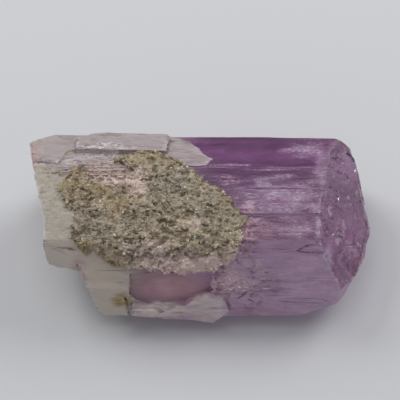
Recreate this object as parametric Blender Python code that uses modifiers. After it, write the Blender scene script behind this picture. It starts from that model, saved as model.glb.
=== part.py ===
"""A broken kunzite crystal, lying on its flat side, with a crust of granular mica grown over its top.

X runs along the crystal, from the pale broken end to the violet end with the crystal's own end face.
Y runs from the front to the back, and Z up. Everything is modelled in millimetres and scaled to metres last.
"""

import math
import random

import bmesh
import bpy
from mathutils import Matrix, Vector
from mathutils.geometry import intersect_point_line

MM = 0.001
WELD = 0.0001
CUTTER = 150.0

# The crystal before its ends break off
HALF_LENGTH = 38.0
# The section across it as (y, z): from the underside's front up the front, over the top and down the back
SECTION = [
    (-12.9, 0.0),
    (-17.0, 4.0),
    (-15.1, 12.0),
    (-8.2, 20.0),
    (-2.9, 20.4),
    (-2.7, 21.0),
    (8.0, 21.0),
    (15.8, 19.8),
    (16.6, 3.0),
    (13.0, 0.0),
]
FRONT_EDGE, FRONT_FOOT, FRONT_SHOULDER, FRONT_RIDGE = range(4)
STEP_FOOT, STEP_EDGE, TOP_BACK, BACK_RIDGE, BACK_FOOT = range(4, 9)
# Growth striations: the strips' mean width and greatest depth on each side of the section that has them
STRIATIONS = {
    FRONT_FOOT: (1.0, 0.18),
    FRONT_SHOULDER: (0.9, 0.20),
    FRONT_RIDGE: (1.2, 0.12),
    STEP_EDGE: (1.6, 0.08),
    BACK_RIDGE: (1.3, 0.34),
    BACK_FOOT: (1.2, 0.26),
}
LEDGE = 0.12
# Long tapering hollows between striations, on each side: how many, their length, width and depth
TERRACES = {
    FRONT_FOOT: (7, (7.0, 22.0), (0.8, 1.8), (0.10, 0.30)),
    FRONT_SHOULDER: (9, (6.0, 20.0), (0.8, 2.0), (0.10, 0.34)),
    FRONT_RIDGE: (4, (7.0, 18.0), (0.7, 1.4), (0.08, 0.18)),
    STEP_EDGE: (8, (7.0, 20.0), (0.8, 2.2), (0.06, 0.16)),
    BACK_RIDGE: (14, (8.0, 30.0), (0.9, 2.4), (0.20, 0.60)),
}

# The growth step along the top fades out at the pale end: the wedge that fills it, as (y, z), and its ends
STEP_FILL = [(-8.2, 18.0), (-8.2, 20.0), (-2.7, 21.0), (-2.7, 18.0)]
STEP_FILL_ENDS = (-HALF_LENGTH, -22.0)

# Planes that end the crystal: a point on each and the direction that it faces
END_PLANES = {
    "end_face": ((24.0, 0.0, 21.0), (1.0, -0.188, 1.12)),
    "end_face_lower": ((22.9, -5.5, 21.06), (0.694, -0.261, 0.671)),
    "end_back_corner": ((30.9, 14.7, 17.3), (0.52, 0.78, 0.36)),
    "end_back_right": ((32.75, 10.6, 15.0), (0.93, 0.33, 0.16)),
    "end_right": ((34.0, 3.9, 12.5), (0.978, 0.205, -0.04)),
    "end_front_right": ((34.6, -3.0, 11.1), (0.965, -0.16, -0.20)),
    "end_front": ((33.4, -7.6, 11.4), (0.86, -0.47, -0.20)),
    "end_front_corner": ((30.9, -11.6, 12.4), (0.80, -0.60, 0.02)),
    "foot_right": ((33.0, -4.0, 5.5), (0.66, -0.25, -0.71)),
    "foot_front_right": ((29.5, -14.4, 7.4), (0.42, -0.58, -0.70)),
    "foot_front": ((21.0, -16.9, 4.2), (0.16, -0.72, -0.68)),
    "rim_back": ((32.7, 9.0, 14.75), (0.865, 0.112, 0.489)),
    "rim_right": ((33.4, 2.0, 12.9), (0.918, 0.045, 0.392)),
    "rim_front": ((33.1, -5.0, 10.7), (0.930, -0.300, 0.250)),
    "broken_end_back": ((-31.0, 15.5, 20.35), (-0.33, 0.75, 0.57)),
    "back_ridge_slope": ((10.0, 15.75, 19.9), (0.036, 0.41, 0.911)),
}

# Shallow chips in the end face, seen from above: centre, size and the way that each deepens, in degrees
CHIPS = [
    ((27.9, -1.2), 2.7, 80.0),
    ((29.8, -4.2), 2.4, 200.0),
    ((27.2, -7.4), 2.6, 320.0),
    ((31.0, -0.9), 2.2, 20.0),
    ((25.9, -4.8), 1.9, 120.0),
    ((31.6, -6.0), 2.0, 260.0),
    ((29.0, 5.6), 3.6, 100.0),
    ((30.2, 11.0), 2.9, 340.0),
    ((32.7, 2.6), 2.2, 60.0),
    ((26.2, 2.8), 2.4, 280.0),
    ((28.9, -10.4), 1.9, 30.0),
    ((27.2, 12.2), 2.2, 210.0),
]
CHIP_TILT = (4.0, 8.0)
# Flakes off the lower right faces and the underside: a point on the plane, its facing, size and direction
FLAKES = [
    ("end_right", (0.0, -1.0, -2.0), 2.6, 40.0),
    ("end_right", (0.0, 5.0, -5.0), 3.4, 190.0),
    ("end_right", (0.0, 8.0, -9.0), 2.8, 100.0),
    ("end_front_right", (0.0, -1.2, -1.0), 1.7, 310.0),
    ("foot_right", (-1.0, 2.0, -1.0), 3.0, 60.0),
    ("foot_right", (-2.5, 9.0, -3.0), 3.2, 250.0),
    ("foot_front_right", (-2.0, 0.5, -1.5), 2.4, 150.0),
    ("foot_front_right", (-5.0, 1.0, -4.0), 2.2, 20.0),
    ("end_front_corner", (0.0, 0.0, -2.5), 1.6, 90.0),
]
# Broken ground beside the window: the section's side, X and the distance up it, size and direction
FRONT_CHIPS = [
    (FRONT_SHOULDER, 4.6, 1.6, 2.2, 200.0),
    (FRONT_SHOULDER, 7.6, 2.8, 2.6, 340.0),
    (FRONT_SHOULDER, 6.2, 5.2, 2.0, 60.0),
    (FRONT_SHOULDER, 10.4, 1.2, 2.0, 120.0),
    (FRONT_SHOULDER, 9.4, 4.8, 1.8, 250.0),
    (FRONT_FOOT, 7.4, 6.6, 2.0, 30.0),
    (FRONT_FOOT, 11.0, 5.4, 1.6, 150.0),
]
FRONT_CHIP_DEPTH = 0.3
# The groove between the end face's rim and the lobe in front of it: both ends and the width across
GROOVE = ((30.9, -12.9, 9.9), (27.0, -10.1, 14.9), 1.2)
# Steps in the pale broken end: the corner of each block that broke off as (depth, y, z),
# its two other sides' directions from there, and its turn about X, Y and Z
END_STEPS = [
    ((2.4, 8.0, 13.4), (1, -1), (9.0, -7.0, -5.0)),
    ((3.1, -1.5, 7.2), (-1, -1), (-6.0, 9.0, 7.0)),
    ((1.5, 1.0, 11.6), (1, -1), (-38.0, 4.0, -6.0)),
    ((1.1, 11.6, 17.4), (1, -1), (-14.0, 6.0, 3.0)),
    ((1.9, 13.2, 6.0), (1, -1), (4.0, -9.0, 8.0)),
    ((4.3, 4.6, 3.0), (-1, -1), (5.0, 12.0, -3.0)),
]

# The sheet over the back of the top, with a rounded tongue: (x, distance behind the top's back edge)
SHEET_THICK = 0.5
SHEET = [
    (-38.0, 0.9),
    (-33.2, 1.2),
    (-30.6, 1.0),
    (-28.8, 0.5),
    (-27.6, 1.9),
    (-26.9, 3.9),
    (-16.2, 3.7),
    (-10.1, 3.4),
    (-6.5, 2.4),
    (-4.6, 1.2),
    (-2.8, 0.1),
    (-0.8, -0.3),
    (1.4, 0.1),
    (2.7, 1.7),
    (0.9, 3.0),
    (-0.2, 4.6),
    (-2.0, 6.2),
    (-4.1, 7.3),
    (-6.5, 7.8),
    (-36.0, 8.6),
]
# A second sheet on the first, which ends in a straight break
UPPER_SHEET_THICK = 0.75
UPPER_SHEET = [(-25.4, 3.9), (-16.0, 3.5), (-6.6, 3.1), (-6.3, 5.6), (-6.5, 8.4), (-20.8, 8.4), (-25.0, 6.9)]

# The pale broken end, seen from above, with the material beyond it. It leans out over its foot
PALE_END = [
    (-45.0, 30.0),
    (-45.0, -26.0),
    (-30.2, -26.0),
    (-31.2, -10.8),
    (-31.5, -9.4),
    (-30.7, -8.1),
    (-30.8, -3.4),
    (-31.3, -2.4),
    (-32.4, 3.1),
    (-33.1, 6.7),
    (-33.8, 9.0),
    (-34.0, 10.4),
    (-34.5, 14.0),
    (-37.0, 30.0),
]
PALE_END_LEAN = -4.0
PALE_END_HEIGHT = 18.0
# Front left: what broke away beside the pale block, and the overhangs, seen from above and from the front
FRONT_BREAK = [
    (-40.0, -26.0),
    (-23.9, -26.0),
    (-24.1, -11.4),
    (-29.4, -9.2),
    (-31.3, -8.6),
    (-40.0, -7.6),
]
FRONT_BREAK_TOP = 30.0
OVERHANG = [(-40.0, -26.0), (-22.9, -26.0), (-22.6, -8.5), (-28.0, -4.5), (-40.0, 1.0)]
OVERHANG_TOP = 8.3
BLOCK_SIDE = [
    (-40.0, -5.0),
    (-18.2, -5.0),
    (-18.4, 2.6),
    (-20.5, 5.0),
    (-21.6, 8.2),
    (-22.5, 11.4),
    (-24.0, 15.6),
    (-24.4, 15.6),
    (-24.4, 12.0),
    (-40.0, 12.0),
]
BLOCK_SIDE_BACK = -8.6
PALE_END_FOOT = ((-31.6, -2.0, 9.0), (-0.70, -0.25, -0.67))
CREVICE = ((-14.5, -20.0, 1.0), (-14.1, -14.0, 9.5), (0.0, -7.0, 6.0))

# The window, a smooth hollow where a chip left the front: (x, distance up the chord of the front)
WINDOW = [
    (-13.9, 11.2),
    (2.3, 11.4),
    (2.7, 8.1),
    (1.5, 6.1),
    (-2.0, 5.0),
    (-4.4, 4.1),
    (-7.6, 3.6),
    (-11.0, 4.2),
    (-13.0, 4.9),
    (-14.0, 6.4),
]
WINDOW_DEPTH = 0.15

# The splintery ledge under the window: (x, distance up the front foot)
LEDGE_THICK = 1.0
FRONT_LEDGE = [
    (-13.7, 4.2),
    (-8.5, 4.0),
    (-6.2, 2.9),
    (-2.6, 4.6),
    (0.4, 6.3),
    (3.2, 7.6),
    (5.3, 5.2),
    (6.1, 2.4),
    (4.2, 0.2),
    (2.8, -1.2),
    (0.8, -0.9),
    (-2.0, -0.3),
    (-10.1, 0.2),
    (-13.9, 1.2),
]
FRONT_LEDGE_UPPER = [(-13.5, 3.5), (-8.8, 3.3), (-7.2, 2.2), (-9.4, 1.3), (-13.6, 1.7)]

# The crust, seen from above, and how its lumps are spread
CRUST = [
    (-17.1, 9.6),
    (-16.0, 11.0),
    (-13.4, 11.6),
    (-9.3, 11.7),
    (-7.2, 10.9),
    (-5.2, 9.6),
    (-3.6, 8.4),
    (-1.7, 7.2),
    (-0.4, 5.9),
    (0.7, 4.3),
    (2.5, 3.0),
    (4.1, 1.9),
    (5.4, 0.4),
    (6.8, -1.3),
    (8.1, -2.9),
    (8.9, -4.0),
    (8.3, -5.4),
    (7.8, -7.6),
    (7.5, -9.5),
    (6.2, -11.0),
    (3.6, -11.9),
    (0.9, -12.4),
    (-2.5, -12.6),
    (-9.1, -12.4),
    (-13.1, -12.2),
    (-15.7, -11.7),
    (-17.3, -11.5),
    (-19.9, -10.2),
    (-21.8, -10.0),
    (-23.4, -9.6),
    (-24.4, -8.4),
    (-24.7, -5.8),
    (-24.6, -3.6),
    (-25.2, -2.1),
    (-26.6, -0.9),
    (-27.8, 1.1),
    (-27.4, 3.4),
    (-26.7, 5.6),
    (-25.6, 7.0),
    (-24.3, 7.3),
    (-22.9, 6.0),
    (-21.7, 4.8),
    (-19.1, 4.9),
    (-16.9, 5.5),
    (-14.8, 5.3),
    (-13.3, 6.4),
    (-13.6, 7.5),
    (-15.0, 8.8),
]
LUMP_SPACING = 1.30
LUMP_RADIUS = (0.80, 1.60)
LUMP_FLATNESS = 0.80
LUMP_RISE = (0.15, 0.95)
CRUST_VOXEL = 0.42
CRUST_KEPT_FACES = 0.40
# Pieces that touch keep this much air between them
GAP = 0.30

KUNZITE_COLOUR = (0.33, 0.14, 0.33, 1.0)
MICA_COLOUR = (0.28, 0.24, 0.19, 1.0)


def new_object(name, mesh):
    """Puts the mesh in the scene. A helper object is removed again once a Boolean has used it."""
    made = bpy.data.objects.new(name, mesh)
    bpy.context.scene.collection.objects.link(made)
    bpy.context.view_layer.update()
    return made


def evaluated_mesh(obj):
    """The object's mesh with its modifiers, or a curve's surface."""
    bpy.context.view_layer.update()
    seen = obj.evaluated_get(bpy.context.evaluated_depsgraph_get())
    return bpy.data.meshes.new_from_object(seen)


def apply_modifiers(obj):
    """Gives the object the mesh that its modifiers make."""
    mesh = evaluated_mesh(obj)
    weld(mesh)
    obj.modifiers.clear()
    obj.data = mesh


def weld(mesh):
    """Joins an extrusion's ends to its sides, and closes the slivers that a cut leaves."""
    work = bmesh.new()
    work.from_mesh(mesh)
    bmesh.ops.remove_doubles(work, verts=work.verts, dist=WELD)
    bmesh.ops.recalc_face_normals(work, faces=work.faces)
    work.to_mesh(mesh)
    work.free()


def extruded(name, outline, low, high, placed):
    """A solid of the flat outline, from low to high along its own Z, set in place by a matrix."""
    flat = bpy.data.curves.new(name, "CURVE")
    flat.dimensions = "2D"
    flat.fill_mode = "BOTH"
    flat.extrude = (high - low) / 2
    line = flat.splines.new("POLY")
    line.points.add(len(outline) - 1)
    for point, (across, up) in zip(line.points, outline):
        point.co = (across, up, 0.0, 1.0)
    line.use_cyclic_u = True
    guide = new_object(name + "_outline", flat)
    mesh = evaluated_mesh(guide)
    bpy.data.objects.remove(guide)
    weld(mesh)
    centred = Matrix.Translation((0.0, 0.0, (high + low) / 2))
    mesh.transform(placed @ centred)
    return new_object(name, mesh)


def turned_by(degrees):
    """A turn by degrees about X, then Y, then Z."""
    turn = Matrix.Identity(4)
    for angle, axis in zip(degrees, "XYZ"):
        turn = turn @ Matrix.Rotation(math.radians(angle), 4, axis)
    return turn


def box(name, size, placed):
    """A box about its own centre, set in place by a matrix."""
    mesh = bpy.data.meshes.new(name)
    work = bmesh.new()
    bmesh.ops.create_cube(work, size=1.0, matrix=placed @ Matrix.Diagonal((*size, 1.0)))
    work.to_mesh(mesh)
    work.free()
    return new_object(name, mesh)


def combine(target, others, operation):
    """Joins the other solids to the target or cuts them from it, and removes them."""
    for other in others:
        change = target.modifiers.new(operation, "BOOLEAN")
        change.operation = operation
        change.solver = "EXACT"
        change.object = other
        apply_modifiers(target)
        bpy.data.objects.remove(other)


def facing_to(direction):
    """A turn that brings Z to a direction."""
    return Vector(direction).to_track_quat("Z", "Y").to_matrix().to_4x4()


def beyond_plane(name, point, facing):
    """A block that fills the side of a plane that it faces."""
    outside = Matrix.Translation((0.0, 0.0, CUTTER / 2))
    return box(name, (CUTTER, CUTTER, CUTTER), Matrix.Translation(point) @ facing_to(facing) @ outside)


def groove(name, start, end, width):
    """A cutter for a V-shaped groove along the surface."""
    start, end = Vector(start), Vector(end)
    on_edge = Matrix.Rotation(math.radians(45.0), 4, "Z")
    placed = Matrix.Translation((start + end) / 2) @ facing_to(end - start) @ on_edge
    return box(name, (width, width, (end - start).length), placed)


def along_crystal():
    """Turns a flat outline drawn as (y, z) to face along X."""
    return Matrix(((0, 0, 1, 0), (1, 0, 0, 0), (0, 1, 0, 0), (0, 0, 0, 1)))


def on_side(start, end):
    """A frame on one side of the section: X along the crystal, Y from start towards end and Z outwards."""
    start, end = Vector((0.0, *start)), Vector((0.0, *end))
    up = (end - start).normalized()
    out = Vector((1.0, 0.0, 0.0)).cross(up)
    turn = Matrix((Vector((1.0, 0.0, 0.0)), up, out)).transposed().to_4x4()
    return Matrix.Translation(start) @ turn


def grown(outline, distance):
    """The outline moved outwards by a distance, corner by corner. It runs clockwise."""
    moved = []
    count = len(outline)
    for index in range(count):
        before, here, after = (Vector(outline[(index + step) % count]) for step in (-1, 0, 1))
        first, second = (here - before).normalized(), (after - here).normalized()
        out = Vector((-first.y, first.x)) + Vector((-second.y, second.x))
        moved.append(here + out * (distance / (1.0 + first.dot(second))))
    return [tuple(point) for point in moved]


def striated_section(rng):
    """The section with its striated sides broken into narrow strips that lie at different depths."""
    points = []
    for index, corner in enumerate(SECTION):
        start, end = Vector(corner), Vector(SECTION[(index + 1) % len(SECTION)])
        points.append(tuple(start))
        if index not in STRIATIONS:
            continue
        width, depth = STRIATIONS[index]
        side = end - start
        along = side.normalized()
        inward = Vector((along.y, -along.x))
        place, level = width * rng.uniform(0.5, 1.0), 0.0
        while place < side.length - width * 0.6:
            next_level = rng.uniform(0.0, depth)
            points.append(tuple(start + along * (place - LEDGE / 2) + inward * level))
            points.append(tuple(start + along * (place + LEDGE / 2) + inward * next_level))
            level = next_level
            place += width * rng.uniform(0.55, 1.5)
        points.append(tuple(start + along * (side.length - LEDGE) + inward * level))
    return points


def sheet_solid(name, outline, thickness, extra=0.0):
    """A cleavage sheet on the back of the top, 1 mm of it in the crystal. Extra grows it all round."""
    clockwise = list(reversed(outline))
    shape = grown(clockwise, extra) if extra else clockwise
    return extruded(name, shape, -1.0, thickness + extra, on_side(SECTION[TOP_BACK], SECTION[BACK_RIDGE]))


def prism():
    """The whole crystal as it grew, before anything broke off."""
    rng = random.Random(11)
    body = extruded("prism", striated_section(rng), -HALF_LENGTH, HALF_LENGTH, along_crystal())
    hollows = []
    for side, (count, lengths, widths, depths) in TERRACES.items():
        start, end = SECTION[side], SECTION[(side + 1) % len(SECTION)]
        height = (Vector(end) - Vector(start)).length
        for number in range(count):
            length, width, depth = rng.uniform(*lengths), rng.uniform(*widths), rng.uniform(*depths)
            middle = rng.uniform(-0.9, 0.9) * (HALF_LENGTH - 3.0)
            low = rng.uniform(0.0, max(height - width, 0.1))
            blunt = rng.uniform(0.55, 0.8)
            outline = [
                (middle - length / 2, low + width * rng.uniform(0.2, 0.8)),
                (middle - length / 2 * blunt, low + width),
                (middle + length / 2 * rng.uniform(0.3, 0.8), low + width * rng.uniform(0.85, 1.0)),
                (middle + length / 2, low + width * rng.uniform(0.2, 0.8)),
                (middle + length / 2 * blunt, low),
                (middle - length / 2 * rng.uniform(0.3, 0.8), low + width * rng.uniform(0.0, 0.15)),
            ]
            lean = Matrix.Rotation(math.radians(rng.uniform(-0.8, 0.8)), 4, "Z")
            tilt = Matrix.Rotation(math.radians(rng.uniform(-5.0, 5.0)), 4, "X")
            placed = on_side(start, end) @ Matrix.Translation((0.0, 0.0, -depth)) @ lean @ tilt
            hollows.append(extruded(f"terrace_{side}_{number}", outline, 0.0, 3.0, placed))
    combine(body, hollows, "DIFFERENCE")
    return body


def chip(name, placed, size, toward, rng):
    """A cutter for a shallow, uneven chip whose floor starts level on one side and ends at a ledge."""
    corners = rng.randint(6, 8)
    outline = []
    for number in range(corners):
        angle = math.tau * (number + rng.uniform(-0.3, 0.3)) / corners
        reach = size * rng.uniform(0.75, 1.25)
        outline.append((reach * math.cos(angle), reach * math.sin(angle) * 0.8))
    tilt = math.radians(rng.uniform(*CHIP_TILT))
    turn = Matrix.Rotation(math.radians(toward), 4, "Z")
    sunk = Matrix.Translation((0.0, 0.0, -size * math.sin(tilt) * 0.5)) @ Matrix.Rotation(tilt, 4, "Y")
    return extruded(name, outline, 0.0, 5.0, placed @ turn @ sunk)


def on_plane(name, point):
    """A frame on an end plane at its nearest place to a point, with Z out of the crystal."""
    start, facing = END_PLANES[name]
    out = Vector(facing).normalized()
    point = Vector(point)
    place = point - out * (point - Vector(start)).dot(out)
    return Matrix.Translation(place) @ facing_to(out)


def height_on(name, x, y):
    """The height of an end plane at a place seen from above."""
    (x0, y0, z0), facing = END_PLANES[name]
    return z0 - (facing[0] * (x - x0) + facing[1] * (y - y0)) / facing[2]


def step_fill(extra=0.0):
    """The wedge that fills the growth step at the pale end. Extra grows it all round."""
    low, high = STEP_FILL_ENDS
    shape = grown(STEP_FILL, extra) if extra else STEP_FILL
    return extruded("step_fill", shape, low, high + extra, along_crystal())


def chips():
    """Cutters for the chips in the end face and the front, and for the flakes off the faces below."""
    rng = random.Random(3)
    cutters = []
    for number, ((x, y), size, toward) in enumerate(CHIPS):
        z, plane = min((height_on(plane, x, y), plane) for plane in ("end_face", "end_face_lower"))
        cutters.append(chip(f"chip_{number}", on_plane(plane, (x, y, z)), size, toward, rng))
    for number, (plane, shift, size, toward) in enumerate(FLAKES):
        point = Vector(END_PLANES[plane][0]) + Vector(shift)
        cutters.append(chip(f"flake_{number}", on_plane(plane, point), size, toward, rng))
    for number, (side, x, up, size, toward) in enumerate(FRONT_CHIPS):
        placed = on_side(SECTION[side], SECTION[side + 1]) @ Matrix.Translation((x, up, -FRONT_CHIP_DEPTH))
        cutters.append(chip(f"front_chip_{number}", placed, size, toward, rng))
    return cutters


def end_steps():
    """Cutters for the steps in the pale end: each takes a block off it, from a corner outwards."""
    reach = 30.0
    cutters = []
    for number, ((depth, y, z), (side, rise), degrees) in enumerate(END_STEPS):
        face = -32.3 - 0.19 * (y - 3.9)
        corner = Matrix.Translation((face + depth, y, z))
        middle = Matrix.Translation((-reach / 2, side * reach / 2, rise * reach / 2))
        placed = corner @ turned_by(degrees) @ middle
        cutters.append(box(f"end_step_{number}", (reach, reach, reach), placed))
    return cutters


def crystal():
    """The crystal as one solid: the prism with its ends, sheets, ledges, hollows and breaks."""
    body = prism()
    combine(body, [step_fill()], "UNION")
    combine(body, [sheet_solid("sheet", SHEET, SHEET_THICK)], "UNION")
    combine(body, [sheet_solid("upper_sheet", UPPER_SHEET, UPPER_SHEET_THICK + SHEET_THICK)], "UNION")
    ends = [beyond_plane(name, point, facing) for name, (point, facing) in END_PLANES.items()]
    combine(body, ends, "DIFFERENCE")

    chord = on_side(SECTION[FRONT_FOOT], SECTION[FRONT_RIDGE])
    foot = on_side(SECTION[FRONT_FOOT], SECTION[FRONT_SHOULDER])
    window = extruded("window", WINDOW, WINDOW_DEPTH, 8.0, chord)
    front_break = extruded("front_break", FRONT_BREAK, -5.0, FRONT_BREAK_TOP, Matrix.Identity(4))
    overhang = extruded("overhang", OVERHANG, -5.0, OVERHANG_TOP, Matrix.Identity(4))
    from_front = Matrix.Rotation(math.radians(90.0), 4, "X")
    block_side = extruded("block_side", BLOCK_SIDE, -BLOCK_SIDE_BACK, 26.0, from_front)
    leaning = Matrix.Rotation(math.radians(PALE_END_LEAN), 4, "Y")
    end_top = Matrix.Translation((0.0, 0.0, PALE_END_HEIGHT)) @ leaning
    pale_end = extruded("pale_end", PALE_END, -30.0, 15.0, end_top)
    low, high, degrees = (Vector(part) for part in CREVICE)
    crevice = box("crevice", high - low, Matrix.Translation((low + high) / 2) @ turned_by(degrees))
    end_foot = beyond_plane("end_foot", *PALE_END_FOOT)
    combine(body, [pale_end, end_foot, front_break, overhang, block_side, window, crevice], "DIFFERENCE")
    combine(body, end_steps(), "DIFFERENCE")
    combine(body, chips(), "DIFFERENCE")
    combine(body, [groove("groove", *GROOVE)], "DIFFERENCE")

    ledge = extruded("front_ledge", FRONT_LEDGE, -1.2, LEDGE_THICK, foot)
    upper_ledge = extruded("front_ledge_upper", FRONT_LEDGE_UPPER, -1.0, LEDGE_THICK + 0.5, foot)
    combine(body, [ledge, upper_ledge], "UNION")
    body.name = body.data.name = "kunzite_crystal"
    return body


def inside(point, outline):
    """Whether a point lies in a closed outline."""
    found = False
    for (x0, y0), (x1, y1) in zip(outline, outline[1:] + outline[:1]):
        if (y0 > point[1]) != (y1 > point[1]) and point[0] < (x1 - x0) * (point[1] - y0) / (y1 - y0) + x0:
            found = not found
    return found


def edge_distance(point, outline):
    """How far a point is from the nearest side of a closed outline."""
    nearest = 1e9
    here = Vector((*point, 0.0))
    for start, end in zip(outline, outline[1:] + outline[:1]):
        start, end = Vector((*start, 0.0)), Vector((*end, 0.0))
        foot, share = intersect_point_line(here, start, end)
        foot = start if share < 0 else end if share > 1 else foot
        nearest = min(nearest, (here - foot).length)
    return nearest


def upper_side(distance):
    """The place at a distance along the section's upper side from its front shoulder, and the way out."""
    upper = [Vector(corner) for corner in SECTION[FRONT_SHOULDER : BACK_RIDGE + 1]]
    for start, end in zip(upper, upper[1:]):
        length = (end - start).length
        if distance <= length:
            along = (end - start) / length
            return start + along * distance, Vector((-along.y, along.x))
        distance -= length
    return None


def crust():
    """Lumps of mica grown together into one crust, bedded on the crystal with a gap."""
    rng = random.Random(23)
    low_x, high_x = min(x for x, _ in CRUST), max(x for x, _ in CRUST)
    lumps = bmesh.new()
    distance = 0.0
    row = 0
    while upper_side(distance):
        place, out = upper_side(distance)
        distance += LUMP_SPACING * 0.87
        row += 1
        count = int((high_x - low_x) / LUMP_SPACING)
        for number in range(count + 1):
            x = low_x + (number + row % 2 / 2) * LUMP_SPACING + rng.uniform(-0.4, 0.4)
            shift = rng.uniform(-0.4, 0.4)
            radius = rng.uniform(*LUMP_RADIUS)
            rise = rng.uniform(*LUMP_RISE)
            turn = Matrix.Rotation(rng.uniform(0.0, math.tau), 4, "Z")
            spot = (x, place.x + shift)
            if not inside(spot, CRUST):
                continue
            margin = edge_distance(spot, CRUST)
            radius = min(radius, 0.7 + margin * 0.8)
            rise = min(rise, 0.2 + margin * 0.5)
            centre = Vector((x, place.x + shift, place.y)) + Vector((0.0, *out)) * rise
            flat = Matrix.Diagonal((radius, radius, radius * LUMP_FLATNESS, 1.0))
            bmesh.ops.create_icosphere(
                lumps, subdivisions=1, radius=1.0, matrix=Matrix.Translation(centre) @ flat @ turn
            )
    mesh = bpy.data.meshes.new("mica_crust")
    lumps.to_mesh(mesh)
    lumps.free()
    made = new_object("mica_crust", mesh)

    fuse = made.modifiers.new("fuse", "REMESH")
    fuse.mode = "VOXEL"
    fuse.voxel_size = CRUST_VOXEL
    made.modifiers.new("split", "TRIANGULATE")
    apply_modifiers(made)

    bed = extruded("bed", grown(SECTION, GAP), -HALF_LENGTH, HALF_LENGTH, along_crystal())
    sheets = [
        sheet_solid("sheet_bed", SHEET, SHEET_THICK, GAP),
        sheet_solid("upper_sheet_bed", UPPER_SHEET, UPPER_SHEET_THICK + SHEET_THICK, GAP),
    ]
    combine(made, [bed, step_fill(GAP), *sheets], "DIFFERENCE")
    keep_largest_piece(made)
    thin = made.modifiers.new("thin", "DECIMATE")
    thin.ratio = CRUST_KEPT_FACES
    apply_modifiers(made)
    made.name = made.data.name = "mica_crust"
    return made


def keep_largest_piece(obj):
    """Drops the specks that a cut leaves beside the main piece."""
    work = bmesh.new()
    work.from_mesh(obj.data)
    left = set(work.verts)
    pieces = []
    while left:
        piece, edge = set(), [left.pop()]
        while edge:
            vert = edge.pop()
            piece.add(vert)
            near = {other.other_vert(vert) for other in vert.link_edges} & left
            left -= near
            edge.extend(near)
        pieces.append(piece)
    largest = max(pieces, key=len)
    bmesh.ops.delete(work, geom=[vert for vert in work.verts if vert not in largest], context="VERTS")
    work.to_mesh(obj.data)
    work.free()


def finish(obj, name, colour, roughness, transmission):
    """Gives the object its material."""
    material = bpy.data.materials.new(name)
    material.use_nodes = True
    shader = material.node_tree.nodes["Principled BSDF"]
    shader.inputs["Base Color"].default_value = colour
    shader.inputs["Roughness"].default_value = roughness
    shader.inputs["Metallic"].default_value = 0.0
    shader.inputs["Transmission Weight"].default_value = transmission
    obj.data.materials.clear()
    obj.data.materials.append(material)


def place_and_scale(objects):
    """Scales everything to metres, standing on Z 0 with its box centred on X 0 and Y 0."""
    points = [vert.co for obj in objects for vert in obj.data.vertices]
    low = Vector(min(point[axis] for point in points) for axis in range(3))
    high = Vector(max(point[axis] for point in points) for axis in range(3))
    shift = Matrix.Translation((-(low.x + high.x) / 2, -(low.y + high.y) / 2, -low.z))
    for obj in objects:
        obj.data.transform(Matrix.Scale(MM, 4) @ shift)


def main():
    for obj in list(bpy.data.objects):
        bpy.data.objects.remove(obj)
    pieces = [crystal(), crust()]
    place_and_scale(pieces)
    finish(pieces[0], "kunzite", KUNZITE_COLOUR, 0.25, 0.8)
    finish(pieces[1], "granular_mica", MICA_COLOUR, 0.7, 0.0)
    home = bpy.data.collections.new("kunzite_specimen")
    bpy.context.scene.collection.children.link(home)
    for piece in pieces:
        bpy.context.scene.collection.objects.unlink(piece)
        home.objects.link(piece)


main()
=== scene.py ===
"""A kunzite crystal with a crust of granular mica on its top, on a pale table in soft studio light.

X runs along the crystal towards its violet end, Y away from the side that lies lowest in the picture, and Z
up. Shapes, places and the sizes of the patterns are worked out in millimetres.
"""

import math

import bmesh
import bpy
import numpy as np
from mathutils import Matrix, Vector
from mathutils.kdtree import KDTree


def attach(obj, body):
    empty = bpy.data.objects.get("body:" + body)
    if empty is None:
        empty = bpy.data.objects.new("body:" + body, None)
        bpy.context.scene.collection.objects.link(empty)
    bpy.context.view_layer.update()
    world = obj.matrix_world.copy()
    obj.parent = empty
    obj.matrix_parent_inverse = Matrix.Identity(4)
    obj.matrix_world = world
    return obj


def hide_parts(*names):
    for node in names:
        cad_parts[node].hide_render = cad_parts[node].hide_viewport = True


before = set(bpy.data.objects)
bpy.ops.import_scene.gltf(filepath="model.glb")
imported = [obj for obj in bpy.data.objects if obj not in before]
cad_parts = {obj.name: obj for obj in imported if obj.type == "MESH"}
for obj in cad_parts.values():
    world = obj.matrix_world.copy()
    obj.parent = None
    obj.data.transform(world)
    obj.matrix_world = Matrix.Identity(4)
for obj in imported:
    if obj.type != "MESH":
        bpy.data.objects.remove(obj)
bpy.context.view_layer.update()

MM = 0.001

# Places on the crystal: a middle, the reach along X, Y and Z, and how strong the place is
# Clear, deep violet
DEEP = [
    ((8.0, 13.5, 20.0), (12.0, 5.0, 5.0), 1.0),
    ((9.0, 6.5, 21.0), (6.5, 3.6, 4.0), 1.0),
    ((18.5, 10.5, 20.7), (6.5, 2.4, 3.0), 0.9),
    ((31.3, -1.4, 14.2), (1.6, 2.2, 2.2), 1.0),
    ((27.6, 1.6, 18.0), (1.5, 1.9, 2.0), 1.0),
    ((27.8, 5.0, 18.3), (2.0, 3.5, 3.0), 0.5),
    ((13.3, -10.8, 16.0), (2.6, 1.6, 2.0), 0.8),
    ((9.5, -15.6, 7.5), (3.6, 2.0, 3.0), 0.8),
    ((1.5, -12.8, 10.5), (2.6, 2.0, 3.0), 0.7),
]
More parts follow.
